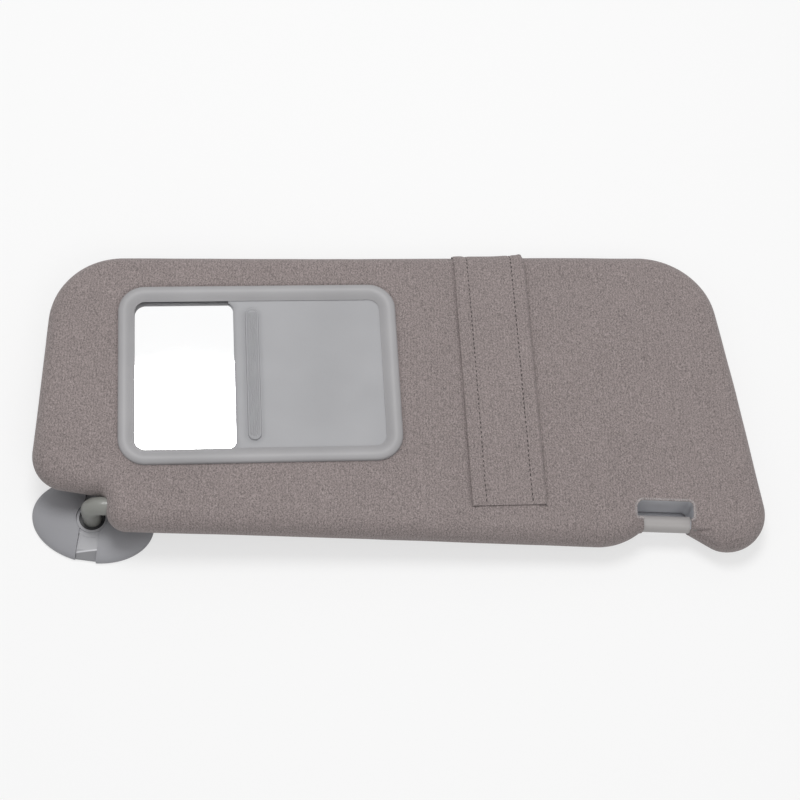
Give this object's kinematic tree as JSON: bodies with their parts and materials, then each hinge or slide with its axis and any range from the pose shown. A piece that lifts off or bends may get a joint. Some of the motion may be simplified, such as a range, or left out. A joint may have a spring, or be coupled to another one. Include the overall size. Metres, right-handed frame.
{
  "type": "car sun visor",
  "caption": "Cloth-covered car sun visor with a framed vanity mirror under a sliding cover, a sewn strap, a pivot arm with a domed roof bracket and a hook pin.",
  "frame": {"origin": "centre of the roof bracket's mounting face, on the swivel axis and between its two screw holes", "axes": "+X runs from the bracket to the panel's free end, +Y from the hinge edge to the far edge, +Z away from the roof, up as the part lies"},
  "size_m": [0.4237, 0.1978, 0.0384],
  "materials": {
    "bracket_plastic": "fine grain",
    "sleeve_plastic": "satin",
    "bezel_plastic": "satin",
    "cover_plastic": "fine grain",
    "holder_plastic": "satin",
    "pin_plastic": "smooth",
    "core_plastic": "moulded",
    "inner_plastic": "moulded",
    "cloth": "fine ribbed knit",
    "strap_cloth": "fine ribbed knit, stitched",
    "tape": "foam tape",
    "mirror": "silvered",
    "steel": "zinc plated"
  },
  "bodies": {
    "bracket": {"bracket_base": "bracket_plastic", "cap_left": "bracket_plastic", "cap_right": "bracket_plastic"},
    "arm": {"pivot_rod": "steel", "arm_sleeve": "sleeve_plastic", "thrust_washer": "steel", "swivel_spring": "steel", "retaining_ring": "steel"},
    "visor": {"cloth_cover": "cloth", "core_front": "core_plastic", "core_rear": "core_plastic", "strap": "strap_cloth", "pin_holder": "holder_plastic", "hook_pin": "pin_plastic", "mirror_bezel": "bezel_plastic", "mirror_tray": "bezel_plastic", "mirror_tape": "tape", "mirror_glass": "mirror", "rod_carrier": "inner_plastic", "detent_spring": "steel", "rod_bush": "inner_plastic", "carrier_screws": "steel"},
    "mirror_door": {"slide_cover": "cover_plastic"}
  },
  "joints": [
    {"name": "arm_swing", "type": "hinge", "parent": "bracket", "child": "arm", "pos_m": [0, 0, 0], "axis": [0, 0, -1], "range_deg": [0, 95]},
    {"name": "visor_flip", "type": "hinge", "parent": "arm", "child": "visor", "pos_m": [0, 0, 0.027], "axis": [0.9993, 0, -0.0373], "range_deg": [0, 180], "deforming": ["detent_spring"]},
    {"name": "door_slide", "type": "slide", "parent": "visor", "child": "mirror_door", "axis": [-0.9975, -0.0589, 0.0384], "range_m": [0, 0.0574]}
  ]
}
